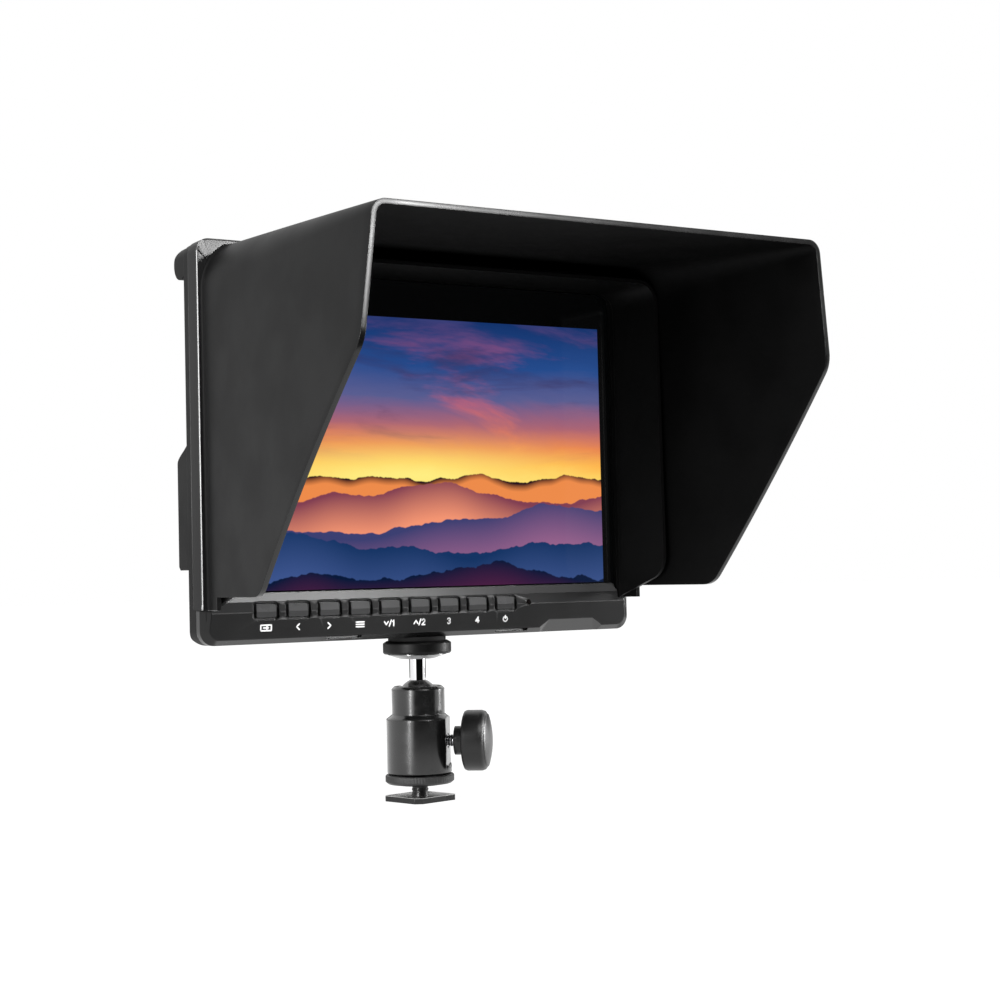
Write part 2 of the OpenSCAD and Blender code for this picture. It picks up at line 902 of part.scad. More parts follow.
module case_screws() {
  color([0.3, 0.3, 0.32])
    at_monitor()
      for (s = [-1, 1])
        for (p = case_points)
          translate([s * p[0], 0, p[1]])
            rotate([-90, 0, 0])
              difference() {
                union() {
                  translate([0, 0, slab_d - 1])
                    cylinder(r = 2.2, h = 0.9, $fn = 24);
                  translate([0, 0, 7])
                    cylinder(r = 0.9, h = slab_d - 7.9, $fn = 24);
                }
                translate([0, 0, slab_d - 0.6])
                  box(-1.3, 1.3, -0.3, 0.3, 0, 2);
                translate([0, 0, slab_d - 0.6])
                  box(-0.3, 0.3, -1.3, 1.3, 0, 2);
              }
}

// Sun hood

// side view of the sleeve that stands forward from the frame around the glass
module sleeve_profile() {
  polygon(concat([[1.2, frame_z], [-0.4, frame_z], [-1, 12.2]],
    corner([-1, 12.2], [-28, 20.5], [-sleeve_len, 40], 9),
    [[-sleeve_len + 2, glass_top + 3], [1.2, glass_top + 3]]));
}

// clip-on frame: flange, band around the body and inner sleeve in one moulding
module hood_frame() {
  color([0.15, 0.15, 0.15])
    at_monitor()
      union() {
        difference() {
          slab_y(-0.4, band_d)
            body_outline(-band_out, frame_z);
          translate([0, 0, -0.01])
            slab_y(1.2, band_d + 1)
              body_outline(1.4, 5);
          box(-glass_x, glass_x, -2, 9, 0, glass_top);
        }
        intersection() {
          slab_y(-sleeve_len - 1, 1.2)
            difference() {
              union() {
                translate([-glass_x - sleeve_t, 0])
                  square([2 * (glass_x + sleeve_t), glass_top - sleeve_r]);
                translate([-glass_x + sleeve_r, 0])
                  square([2 * (glass_x - sleeve_r), glass_top + sleeve_t]);
                for (s = [-1, 1])
                  translate([s * (glass_x - sleeve_r), glass_top - sleeve_r])
                    circle(sleeve_r + sleeve_t);
              }
              translate([-glass_x, -1])
                square([2 * glass_x, glass_top - sleeve_r + 1]);
              translate([-glass_x + sleeve_r, -1])
                square([2 * (glass_x - sleeve_r), glass_top + 1]);
              for (s = [-1, 1])
                translate([s * (glass_x - sleeve_r), glass_top - sleeve_r])
                  circle(sleeve_r);
            }
          side_x(-glass_x - 5, glass_x + 5)
            sleeve_profile();
        }
      }
}

// half of one cross section of the hood, from the lower left edge to the roof's middle.
// Each entry is [x, z, outward normal x, outward normal z].
hood_z0 = 8;
function hood_half(v, flare) =
  let (xt = hood_root_x + (hood_front_x - hood_root_x) * v,
    low = hood_root_low_x + (hood_front_low_x - hood_root_low_x) * v,
    zt = body_h - hood_fall * v,
    r = hood_root_r + (hood_front_r - hood_root_r) * v,
    lean = atan((low - xt) / (zt - hood_low_z)),
    cx = -(xt + r * tan(lean) - r / cos(lean)), cz = zt - r,
    nx = -cos(lean), nz = sin(lean),
    zs = cz + r * nz,
    side = [for (i = [0 : 4])
      let (z = hood_z0 + (zs - hood_z0) * i / 5, x = -(xt + (zt - z) * tan(lean)))
      [x, z, nx, nz]],
    arc = [for (i = [0 : 8])
      let (a = 180 - lean - (90 - lean) * i / 8)
      [cx + r * cos(a), cz + r * sin(a), cos(a), sin(a)]])
  [for (p = concat(side, arc)) [p[0] + flare * p[2], p[1] + flare * p[3] * (p[3] > 0.9 ? 0 : 1), p[2], p[3]]];

// root slices flare into a small cove where the hood meets its frame
hood_cove = [[0, 0.9], [0.3, 0.5], [0.7, 0.25], [1.3, 0.08], [2.2, 0]];
hood_slices = concat(hood_cove, [for (i = [1 : 9]) [2.2 + (hood_len - 1.6) * i / 9, 0]]);
// outer and inner outlines of slice s, left to right
function hood_ring(s, t) =
  let (y = -0.4 - s[0], v = s[0] / hood_len,
    base = hood_half(v, 0), out = hood_half(v, s[1]),
    left = [for (i = [0 : len(base) - 1])
      t == 0 ? [out[i][0], y, out[i][1]]
        : [base[i][0] - hood_wall * base[i][2], y, base[i][1] - hood_wall * base[i][3]]],
    n = len(left))
  concat(left, [for (i = [0 : n - 1]) [-left[n - 1 - i][0], y, left[n - 1 - i][2]]]);

module hood_skin() {
  m = len(hood_ring(hood_slices[0], 0));
  k = len(hood_slices);
  outer = [for (s = hood_slices) each hood_ring(s, 0)];
  inner = [for (s = hood_slices) each hood_ring(s, 1)];
  q = m * k;
  faces = concat(
    [for (j = [0 : k - 2]) for (i = [0 : m - 2]) each
      [[j * m + i, (j + 1) * m + i, j * m + i + 1],
       [j * m + i + 1, (j + 1) * m + i, (j + 1) * m + i + 1]]],
    [for (j = [0 : k - 2]) for (i = [0 : m - 2]) each
      [[q + j * m + i, q + j * m + i + 1, q + (j + 1) * m + i],
       [q + j * m + i + 1, q + (j + 1) * m + i + 1, q + (j + 1) * m + i]]],
    [for (i = [0 : m - 2]) each
      [[i, i + 1, q + i], [i + 1, q + i + 1, q + i]]],
    [for (i = [0 : m - 2]) each
      [[(k - 1) * m + i, q + (k - 1) * m + i, (k - 1) * m + i + 1],
       [(k - 1) * m + i + 1, q + (k - 1) * m + i, q + (k - 1) * m + i + 1]]],
    [for (j = [0 : k - 2]) each
      [[j * m, q + j * m, (j + 1) * m], [(j + 1) * m, q + j * m, q + (j + 1) * m]]],
    [for (j = [0 : k - 2]) each
      [[j * m + m - 1, (j + 1) * m + m - 1, q + j * m + m - 1],
       [(j + 1) * m + m - 1, q + (j + 1) * m + m - 1, q + j * m + m - 1]]]);
  polyhedron(points = concat(outer, inner), faces = faces, convexity = 6);
}

// side view of the hood: roof, upright front edge, slanting edge and short lower edge
module hood_side() {
  knee = [-hood_len + 1, hood_knee_z];
  heel = [-hood_low_len, hood_low_z];
  polygon(concat(
    [[1, body_h + 5], [1, frame_z + 0.1], [-8.2, frame_z + 0.1], [-8.2, hood_low_z]],
    corner([-8.2, hood_low_z], heel, knee, hood_knee_r),
    corner(heel, knee, [-hood_len, 126], hood_knee_r),
    [[-hood_len, body_h - hood_fall], [-hood_len - 0.2, body_h + 5]]));
}

module hood_shell() {
  color([0.2, 0.2, 0.2])
    at_monitor()
      intersection() {
        hood_skin();
        side_x(-110, 110)
          hood_side();
      }
}

foot_plate();
foot_stud();
base_plug();
ball_housing();
plunger();
clamp_screw();
clamp_knob();
lock_ring();
ring_washer();
ball();
ball_stem();
mount_disc();
disc_cup();
rubber_pad();
tripod_screw();
thread_insert();
front_bezel();
rear_cover();
glass_border();
display_window();
lcd_panel();
main_board();
key_board();
tact_switches();
key_1();
key_2();
key_3();
key_4();
key_5();
key_6();
key_7();
key_8();
key_9();
status_led();
battery_plate();
battery_contacts();
battery_latch();
hdmi_sockets();
dc_jack();
phone_jack();
case_screws();
hood_frame();
hood_shell();
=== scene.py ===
"""Looks of the camera field monitor with sun hood.

Materials, softened edges, the hood's finer skin, the printed marks, and the stage with its lights and camera.
"""
import json
import math
from collections import namedtuple

import bmesh
import bpy
from mathutils import Matrix, Vector


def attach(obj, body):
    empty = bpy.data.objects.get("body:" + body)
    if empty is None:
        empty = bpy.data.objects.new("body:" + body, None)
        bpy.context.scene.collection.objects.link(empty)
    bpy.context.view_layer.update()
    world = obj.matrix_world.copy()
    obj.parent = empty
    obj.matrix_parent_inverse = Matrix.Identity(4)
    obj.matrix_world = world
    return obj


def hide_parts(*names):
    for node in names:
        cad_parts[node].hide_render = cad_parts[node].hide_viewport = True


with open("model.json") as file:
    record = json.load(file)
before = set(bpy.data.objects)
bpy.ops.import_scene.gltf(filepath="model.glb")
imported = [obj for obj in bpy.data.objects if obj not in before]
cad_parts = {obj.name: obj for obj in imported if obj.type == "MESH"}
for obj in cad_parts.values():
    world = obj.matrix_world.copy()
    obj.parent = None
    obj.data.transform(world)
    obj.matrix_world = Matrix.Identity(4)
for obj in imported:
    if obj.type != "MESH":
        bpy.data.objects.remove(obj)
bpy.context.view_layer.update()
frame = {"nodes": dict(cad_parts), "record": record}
NODES = frame["nodes"]
KEYS = [f"key_{i}" for i in range(1, 10)]
MM = 0.001

# Sizes in millimetres, in the monitor's own frame: width from its middle, depth from its front,
# height from its underside
DECK = 57.6         # height of the monitor's underside over the floor
AXIS_Y = 11.0       # depth of the mount's axis
SCREEN_W = 150.8    # lit area
SCREEN_H = 94.2
SCREEN_Z = 17.5     # height of the lit area's lower edge
FACET_TOP = 10.5    # the chin's lower facet starts at this height
FACET_FALL = 10.6   # and falls so far for each millimetre of depth


def part(x, y, z):
    """A point of the monitor's own frame, in millimetres, as a place in the part's frame, in metres."""
    return Vector((x * MM, (y - AXIS_Y) * MM, (z + DECK) * MM))


def add_object(name, data):
    o = bpy.data.objects.new(name, data)
    bpy.context.scene.collection.objects.link(o)
    return o


# Material tools

class Sock:
    """An output socket with arithmetic, so that a pattern reads as a formula."""

    def __init__(self, mat, out):
        self.mat, self.out = mat, out

    def calc(self, operation, *others):
        n = self.mat.nodes.new("ShaderNodeMath")
        n.operation = operation
        for i, v in enumerate((self, *others)):
            if isinstance(v, Sock):
                self.mat.link(v.out, n.inputs[i])
            else:
                n.inputs[i].default_value = v
        return Sock(self.mat, n.outputs[0])

    def __add__(self, other):
        return self.calc("ADD", other)

    def __sub__(self, other):
        return self.calc("SUBTRACT", other)

    def __rsub__(self, other):
        return self * -1.0 + other

    def __mul__(self, other):
        return self.calc("MULTIPLY", other)

    def __truediv__(self, other):
        return self.calc("DIVIDE", other)

    def clamp(self):
        s = self.calc("ADD", 0.0)
        s.out.node.use_clamp = True
        return s

    def absolute(self):
        return self.calc("ABSOLUTE")

    def power(self, exponent):
        return self.calc("POWER", exponent)

    def exponent(self):
        return self.calc("EXPONENT")

    def step(self, low, high):
        """0 below low, 1 above high, smooth between."""
        n = self.mat.nodes.new("ShaderNodeMapRange")
        n.interpolation_type = "SMOOTHSTEP"
        self.mat.link(self.out, n.inputs["Value"])
        n.inputs["From Min"].default_value = low
        n.inputs["From Max"].default_value = high
        return Sock(self.mat, n.outputs["Result"])

    def ramp(self, stops):
        """A colour ramp with stops (position, colour)."""
        n = self.mat.nodes.new("ShaderNodeValToRGB")
        elements = n.color_ramp.elements
        while len(elements) < len(stops):
            elements.new(0.5)
        for element, (position, color) in zip(elements, stops):
            element.position = position
            element.color = (*color, 1)
        self.mat.link(self.out, n.inputs[0])
        return Sock(self.mat, n.outputs[0])


class Mat:
    """A node material with a Principled shader and coordinates in the object's own frame, in metres."""

    def __init__(self, name, color, rough, metal=0.0, spec=0.5, coat=0.0, coat_rough=0.1):
        self.m = bpy.data.materials.new(name)
        self.m.use_nodes = True
        self.tree = self.m.node_tree
        self.nodes = self.tree.nodes
        self.bsdf = self.nodes["Principled BSDF"]
        self.set("Base Color", (*color, 1))
        self.set("Roughness", rough)
        self.set("Metallic", metal)
        self.set("Specular IOR Level", spec)
        self.set("Coat Weight", coat)
        self.set("Coat Roughness", coat_rough)
        self.m.diffuse_color = (*color, 1)
        self.obj = Sock(self, self.nodes.new("ShaderNodeTexCoord").outputs["Object"])

    def link(self, a, b):
        self.tree.links.new(a, b)

    def set(self, name, value):
        s = self.bsdf.inputs[name]
        if isinstance(value, Sock):
            self.link(value.out, s)
        else:
            s.default_value = value

    def pattern(self, name):
        """What is linked to a socket of the shader."""
        return Sock(self, self.bsdf.inputs[name].links[0].from_socket)

    def place(self, scale, turn=(0, 0, 0), move=(0, 0, 0)):
        """The object's coordinates, stretched, turned by degrees and moved."""
        n = self.nodes.new("ShaderNodeMapping")
        n.inputs["Scale"].default_value = scale
        n.inputs["Rotation"].default_value = [math.radians(a) for a in turn]
        n.inputs["Location"].default_value = move
        self.link(self.obj.out, n.inputs["Vector"])
        return Sock(self, n.outputs[0])

    def noise(self, size, detail=3, rough=0.5, vec=None, distort=0.0):
        """Noise whose blobs are about size metres wide."""
        n = self.nodes.new("ShaderNodeTexNoise")
        n.inputs["Scale"].default_value = 1 / size
        n.inputs["Detail"].default_value = detail
        n.inputs["Roughness"].default_value = rough
        n.inputs["Distortion"].default_value = distort
        self.link((vec or self.obj).out, n.inputs["Vector"])
        return Sock(self, n.outputs["Fac"])

    def cells(self, size, feature="F1"):
        """Distance to the nearest of points about size metres apart, or to the second nearest with F2."""
        n = self.nodes.new("ShaderNodeTexVoronoi")
        n.feature = feature
        n.inputs["Scale"].default_value = 1 / size
        self.link(self.obj.out, n.inputs["Vector"])
        return Sock(self, n.outputs["Distance"])

    def xyz(self):
        n = self.nodes.new("ShaderNodeSeparateXYZ")
        self.link(self.obj.out, n.inputs[0])
        return [Sock(self, o) for o in n.outputs]

    def local(self):
        """Width, depth and height in the monitor's own frame, in millimetres."""
        x, y, z = self.xyz()
        return x * 1000.0, y * 1000.0 + AXIS_Y, z * 1000.0 - DECK

    def mix(self, fac, a, b, blend="MIX"):
        """Colour a where fac is 0, and b where it is 1."""
        n = self.nodes.new("ShaderNodeMix")
        n.data_type = "RGBA"
        n.blend_type = blend
        for s, v in ((n.inputs[0], fac), (n.inputs[6], a), (n.inputs[7], b)):
            if isinstance(v, Sock):
                self.link(v.out, s)
            else:
                s.default_value = (*v, 1)
        return Sock(self, n.outputs[2])

    def round_edges(self, radius):
        """A normal that runs smoothly over the solid's edges, as a small moulding radius would."""
        n = self.nodes.new("ShaderNodeBevel")
        n.samples = 6
        n.inputs["Radius"].default_value = radius
        return Sock(self, n.outputs[0])

    def bump(self, height, depth, strength, over=None):
        """A normal from a height pattern of so many metres, on top of another normal where one is given."""
        n = self.nodes.new("ShaderNodeBump")
        n.inputs["Strength"].default_value = strength
        n.inputs["Distance"].default_value = depth
        self.link(height.out, n.inputs["Height"])
        if over is not None:
            self.link(over.out, n.inputs["Normal"])
        return Sock(self, n.outputs[0])


def moulded(name, dark, light, rough, grain=0.00028, depth=0.00002, spec=0.5, edge=None):
    """Spark-textured moulded plastic: fine grain, slight clouding of the tone and handling shine."""
    m = Mat(name, light, rough, spec=spec)
    fine = m.noise(grain, 4, 0.6)
    pits = m.cells(grain * 1.7)
    cloud = m.noise(0.021, 3, 0.5)
    tone = (fine * 0.35 + cloud * 0.65).step(0.3, 0.7)
    m.set("Base Color", m.mix(tone, dark, light))
    m.set("Roughness", cloud.step(0.3, 0.7) * 0.08 + (rough - 0.04) + fine * 0.05)
    m.set("Normal", m.bump(fine * 0.6 + pits * 0.4, depth, 0.6, m.round_edges(edge) if edge else None))
    return m


def glossier(m, where, spec, more, rough, less):
    """More reflection and less roughness on the places where the pattern is 1."""
    m.set("Specular IOR Level", where * more + spec)
    m.set("Roughness", where * -less + m.noise(0.021, 3, 0.5) * 0.08 + rough)


def polished(name, color, rough, brushed=None):
    """Polished or brushed metal with faint turning marks and a little haze."""
    m = Mat(name, color, rough, metal=1.0)
    haze = m.noise(0.004, 4, 0.6)
    m.set("Roughness", haze.step(0.3, 0.75) * rough * 0.8 + rough * 0.6)
    m.set("Base Color", m.mix(haze, color, tuple(c * 0.9 for c in color)))
    if brushed:
        scratches = m.noise(0.0004, 4, 0.7, m.place(scale=brushed))
        m.set("Normal", m.bump(scratches, 0.00001, 0.5))
    return m


def painted(name, color, rough, coat, spec=0.5):
    """Black lacquer on turned metal, with faint orange peel."""
    m = Mat(name, color, rough, spec=spec, coat=coat, coat_rough=0.12)
    peel = m.noise(0.0011, 2, 0.4)
    cloud = m.noise(0.006, 3, 0.5)
    m.set("Roughness", cloud.step(0.3, 0.7) * 0.1 + (rough - 0.05))
    m.set("Base Color", m.mix(cloud, color, tuple(c * 1.5 for c in color)))
    m.set("Normal", m.bump(peel, 0.00002, 0.25, m.round_edges(0.0009)))
    return m


def wiped(m):
    """Faint wiping marks on glass."""
    smear = m.noise(0.03, 4, 0.6)
    m.set("Roughness", smear.step(0.35, 0.75) * 0.05 + 0.06)
    return smear


# Materials with a pattern of their own

def frame_plastic():
    """The hood frame: a matt inner sleeve in front, a band round the case, and a glossier flange face."""
    m = moulded("frame_plastic", (0.0052, 0.0052, 0.0054), (0.0076, 0.0076, 0.0078), 0.40)
    _, depth, _ = m.local()
    band = depth.step(-1.1, -0.7)
    m.set("Base Color", m.mix(band, (0.0065, 0.0065, 0.0067), m.pattern("Base Color")))
    flange = band * (1.0 - depth.step(-0.35, -0.3))
    glossier(m, flange, band * -0.04 + 0.15, 0.4, 0.36, 0.1)
    return m


def bezel_plastic():
    """The front: the chin's lower bevel and its scoop are glossier than the grained faces."""
    m = moulded("bezel_plastic", (0.0062, 0.0062, 0.0064), (0.0090, 0.0090, 0.0092), 0.30, edge=0.0004)
    scoop_top, chin_half = 6.6, 81.0
    across, depth, height = m.local()
    below_facet = (depth - (FACET_TOP - height) / FACET_FALL).step(0.08, 0.2)
    sunk = below_facet * (scoop_top - height).step(0.0, 0.4) * (chin_half - across.absolute()).step(0.0, 1.5)
    glossier(m, sunk, 0.4, 0.7, 0.26, 0.08)
    return m


def foot_metal_shaded_sides():
    """Brushed steel, with painted shade: the punched sides of the foot's plate are painted near black."""
    m = polished("foot_steel", (0.66, 0.66, 0.65), 0.3, brushed=(0.15, 3, 3))
    plate_top = 2.0
    _, _, up = m.xyz()
    top = up.step((plate_top - 0.14) * MM, (plate_top - 0.08) * MM)
    # painted shade: everything below the plate's top face takes a near-black colour
    m.set("Base Color", m.mix(top, (0.045, 0.045, 0.045), m.pattern("Base Color")))
    return m


def border_glass():
    m = Mat("border_glass", (0.0055, 0.006, 0.0065), 0.08, spec=0.25)
    m.set("Base Color", m.mix(wiped(m), (0.0045, 0.005, 0.0055), (0.0065, 0.007, 0.0075)))
    return m


def circuit_board():
    m = Mat("board", (0.01, 0.06, 0.03), 0.45)
    tracks = m.cells(0.004, feature="F2").step(0.4, 0.6)
    m.set("Base Color", m.mix(tracks, (0.008, 0.05, 0.025), (0.02, 0.10, 0.05)))
    return m


def light_window():
    m = Mat("light_window", (0.012, 0.010, 0.010), 0.18, coat=0.4)
    m.set("Base Color", m.mix(m.noise(0.0006, 2), (0.010, 0.007, 0.007), (0.018, 0.012, 0.012)))
    return m


def mark_ink():
    m = Mat("mark_ink", (0.80, 0.80, 0.80), 0.5)
    m.set("Base Color", m.mix(m.noise(0.0003, 3, 0.6), (0.72, 0.72, 0.72), (0.86, 0.86, 0.86)))
    return m


def evening_sky(m, u, v):
    """Streaked clouds, rising to the right, over a glow above the far ridge."""
    streak = m.noise(1, 6, 0.62, m.place(scale=(9, 1, 34), turn=(0, 14, 0)), 0.5)
    wisps = m.noise(1, 5, 0.6, m.place(scale=(14, 1, 70), turn=(0, -6, 0), move=(3.1, 0, 7.7)), 0.4)
    sky = (v + (streak - 0.5) * 0.16).ramp([
        (0.40, (1.0, 0.62, 0.10)), (0.45, (1.0, 0.40, 0.05)), (0.52, (0.80, 0.20, 0.07)),
        (0.60, (0.40, 0.12, 0.17)), (0.70, (0.10, 0.11, 0.28)), (0.82, (0.018, 0.070, 0.26)),
        (1.0, (0.006, 0.032, 0.145))])
    lit = streak.step(0.50, 0.66) * (v - 0.34).step(0.0, 0.16)
    lit_cloud = v.ramp([
        (0.42, (1.0, 0.50, 0.06)), (0.55, (0.95, 0.22, 0.06)), (0.68, (0.62, 0.13, 0.16)),
        (0.85, (0.34, 0.09, 0.22)), (1.0, (0.05, 0.055, 0.20))])
    sky = m.mix(lit * (u * 0.5 + 0.45).clamp(), sky, lit_cloud)
    shaded = wisps.step(0.52, 0.70) * v.step(0.42, 0.60)
    shaded_cloud = v.ramp([(0.5, (0.16, 0.05, 0.09)), (0.75, (0.05, 0.04, 0.13)), (1.0, (0.01, 0.02, 0.09))])
    sky = m.mix(shaded * 0.65, sky, shaded_cloud)
    glow = (((u - 0.46).power(2) * 5.0 + (v - 0.42).power(2) * 95.0) * -1.0).exponent()
    return m.mix(glow * 0.85, sky, (1.0, 0.72, 0.16), "SCREEN")


# Layers of hills, far to near: height of the crest, its swing and its rate along the width, a seed,
# the colours at the crest and in the mist, and the depth of the mist
Hill = namedtuple("Hill", "crest swing rate seed top mist fade")
HILLS = [
    Hill(0.405, 0.035, 7.0, 1.3, (0.020, 0.006, 0.012), (0.85, 0.26, 0.07), 0.030),
    Hill(0.345, 0.085, 2.6, 4.7, (0.22, 0.050, 0.085), (0.90, 0.30, 0.17), 0.15),
    Hill(0.250, 0.120, 1.7, 8.2, (0.045, 0.050, 0.165), (0.33, 0.13, 0.27), 0.19),
    Hill(0.150, 0.130, 2.1, 12.9, (0.007, 0.034, 0.125), (0.050, 0.095, 0.28), 0.20),
    Hill(0.045, 0.120, 2.9, 17.1, (0.002, 0.009, 0.040), (0.16, 0.020, 0.075), 0.24)]


def ridge(m, u, hill, detail):
    """Height of a hill's crest along the width."""
    n = m.nodes.new("ShaderNodeTexNoise")
    n.noise_dimensions = "1D"
    n.inputs["Scale"].default_value = hill.rate
    n.inputs["Detail"].default_value = detail
    n.inputs["Roughness"].default_value = 0.55
    m.link((u + hill.seed).out, n.inputs["W"])
    return (Sock(m, n.outputs["Fac"]) - 0.5) * (2 * hill.swing) + hill.crest


def display_picture():
    """The lit picture: an evening sky over layers of misty hills."""
    m = Mat("display_picture", (0.002, 0.002, 0.002), 0.08, spec=0.3)
    x, _, z = m.xyz()
    u = (x + SCREEN_W / 2 * MM) / (SCREEN_W * MM)
    v = (z - (SCREEN_Z + DECK) * MM) / (SCREEN_H * MM)
    scene = evening_sky(m, u, v)
    for hill in HILLS:
        # the mist follows the hill's broad form, and only the crest itself is jagged
        jagged = ridge(m, u, hill, 6) - v
        broad = ridge(m, u, hill, 1) - v
        color = m.mix((broad / hill.fade).clamp(), hill.top, hill.mist)
        scene = m.mix(jagged.step(-0.002, 0.003), scene, color)
    m.set("Emission Color", scene)
    m.set("Emission Strength", 1.0)
    m.m.cycles.emission_sampling = "NONE"
    wiped(m)
    return m


# Materials of the pieces

hood = moulded("hood_plastic", (0.0046, 0.0046, 0.0048), (0.0064, 0.0064, 0.0066), 0.46, spec=0.11)
# painted shade: the hood's inner face is the same moulded plastic as its outside, painted much darker to
# stand for the shade inside the hood
shaded_inside = moulded("hood_inside_painted_shade", (0.0018, 0.0018, 0.0019), (0.0027, 0.0027, 0.0028), 0.55, spec=0.11)
rim = moulded("hood_rim", (0.004, 0.004, 0.004), (0.006, 0.006, 0.006), 0.24, depth=0.000004)
# painted shade: the polished steel of the stem, given a much darker colour for the ball and the mount's cup
darkened_steel = polished("steel_painted_dark", (0.18, 0.18, 0.18), 0.24)

SLOTS = {
    "case_plastic": moulded("case_plastic", (0.0040, 0.0040, 0.0041), (0.0060, 0.0060, 0.0062), 0.42,
                            spec=0.08, edge=0.0004),
    "hood_plastic": hood,
    "key_plastic": moulded("key_plastic", (0.046, 0.046, 0.047), (0.060, 0.060, 0.061), 0.26,
                           grain=0.0002, spec=0.4),
    "plate_plastic": moulded("plate_plastic", (0.011, 0.011, 0.011), (0.018, 0.018, 0.018), 0.42),
    "latch_plastic": moulded("latch_plastic", (0.03, 0.03, 0.031), (0.045, 0.045, 0.046), 0.4),
    "knob_plastic": moulded("knob_plastic", (0.014, 0.014, 0.014), (0.021, 0.021, 0.021), 0.32,
                            grain=0.00035, spec=0.4, edge=0.0016),
    "jack_plastic": moulded("jack_plastic", (0.009, 0.009, 0.009), (0.014, 0.014, 0.014), 0.35),
    "pad_rubber": moulded("pad_rubber", (0.010, 0.010, 0.010), (0.017, 0.017, 0.016), 0.75,
                          grain=0.0004, depth=0.00005, spec=0.35),
    "plunger_plastic": moulded("plunger_plastic", (0.60, 0.58, 0.52), (0.72, 0.70, 0.64), 0.45),
    "polished_steel": polished("polished_steel", (0.80, 0.80, 0.81), 0.05),
    "foot_steel": foot_metal_shaded_sides(),
    "screw_steel": polished("screw_steel", (0.58, 0.58, 0.59), 0.25, brushed=(1, 1, 6)),
    "insert_brass": polished("insert_brass", (0.72, 0.52, 0.22), 0.25),
    "contact_brass": polished("contact_brass", (0.83, 0.62, 0.26), 0.18),
    "panel_metal": polished("panel_metal", (0.62, 0.62, 0.64), 0.4, brushed=(0.2, 3, 3)),
    "socket_steel": polished("socket_steel", (0.60, 0.60, 0.61), 0.28),
    "switch_metal": polished("switch_metal", (0.62, 0.62, 0.62), 0.35),
    "head_black": painted("head_black", (0.006, 0.006, 0.006), 0.24, 0.6),
    "disc_metal": painted("disc_metal", (0.004, 0.004, 0.004), 0.42, 0.0, spec=0.25),
    "ring_metal": painted("ring_metal", (0.018, 0.018, 0.018), 0.4, 0.15),
    "black_steel": painted("black_steel", (0.014, 0.014, 0.014), 0.35, 0.2),
    "case_screw_steel": painted("case_screw_steel", (0.02, 0.02, 0.021), 0.4, 0.1),
    "border_glass": border_glass(),
    "display_picture": display_picture(),
    "board": circuit_board(),
    "light_window": light_window()}
# the ball and the disc's cup take the darkened steel, a painted shade
OWN = {"hood_frame": frame_plastic(), "front_bezel": bezel_plastic(), "disc_cup": darkened_steel, "ball": darkened_steel}
for entry in frame["record"]["subparts"]:
    mesh = NODES[entry["node"]].data
    mesh.materials.clear()
    mesh.materials.append(OWN.get(entry["node"], SLOTS[entry["material_slot"]]).m)

# the lit picture doesn't tint the hood around it
NODES["display_window"].visible_diffuse = False
NODES["display_window"].visible_glossy = False


# Edges of the solids

def soften(name, width, angle):
    """Small moulding radii on a solid's edges over an angle, as modifiers: the solid's own points stay."""
    o = NODES[name]
    o.data.polygons.foreach_set("use_smooth", [True] * len(o.data.polygons))
    for stored in ("custom_normal", "sharp_edge", "sharp_face"):
        if stored in o.data.attributes:
            o.data.attributes.remove(o.data.attributes[stored])
    weld = o.modifiers.new("weld", "WELD")
    weld.merge_threshold = 0.002 * MM
    bevel = o.modifiers.new("edges", "BEVEL")
    bevel.width = width * MM
    bevel.segments = 2
    bevel.limit_method = "ANGLE"
    bevel.angle_limit = math.radians(angle)
    bevel.miter_outer = "MITER_ARC"
    # the large faces stay flat, and only the radii are shaded round
    normals = o.modifiers.new("normals", "WEIGHTED_NORMAL")
    normals.weight = 80


# Widths of the radii in millimetres. The chin and the keys have a shallow ridge, which is rounded too.
SHARP, SHALLOW = 32, 12
RIDGED = {"front_bezel": 0.35, **{name: 0.14 for name in KEYS}}
PLAIN = {
    "hood_frame": 0.7, "rear_cover": 0.25, "battery_plate": 0.2, "battery_latch": 0.2, "foot_plate": 0.15,
    "glass_border": 0.05, "hdmi_sockets": 0.08, "clamp_knob": 0.3, "mount_disc": 0.12, "ball_housing": 0.12,
    "base_plug": 0.1}
for name, width in PLAIN.items():
    soften(name, width, SHARP)
for name, width in RIDGED.items():
    soften(name, width, SHALLOW)


def outline_gap(co):
    """Distance in millimetres from the hood frame's outer outline, seen from the front."""
    half, top, radius = 85.5, 133.7, 4.8
    x, z = abs(co.x / MM), co.z / MM - DECK
    dx, dz = x - (half - radius), z - (top - radius)
    if dx > 0 and dz > 0:
        return abs(math.hypot(dx, dz) - radius)
    return min(abs(x - half), abs(z - top))


def on_outline(a, b):
    """Whether an edge from a to b runs along the frame's outer outline."""
    level, near, sag = 0.01, 0.03, 0.12
    along = abs(a.y - b.y) < level * MM
    return along and max(outline_gap(a), outline_gap(b)) < near and outline_gap((a + b) / 2) < sag


def glossy_outline():
    """Only the frame's outer outline gets a radius, as glossy as the hood's rim."""
    o = NODES["hood_frame"]
    mesh = o.data
    weight = mesh.attributes.new("bevel_weight_edge", "FLOAT", "EDGE")
    for e in mesh.edges:
        weight.data[e.index].value = float(on_outline(*(mesh.vertices[v].co for v in e.vertices)))
    mesh.materials.append(rim.m)
    bevel = o.modifiers["edges"]
    bevel.limit_method = "WEIGHT"
    bevel.use_clamp_overlap = False
    bevel.material = 1
    bevel.segments = 3
    # all other edges stay sharp
    split = o.modifiers.new("split", "EDGE_SPLIT")
    split.split_angle = math.radians(40)
    split.use_edge_sharp = False
    o.modifiers.move(o.modifiers.find("split"), o.modifiers.find("normals"))


glossy_outline()


# Hood skin, in millimetres. A pair in brackets holds the value at the root and at the front.

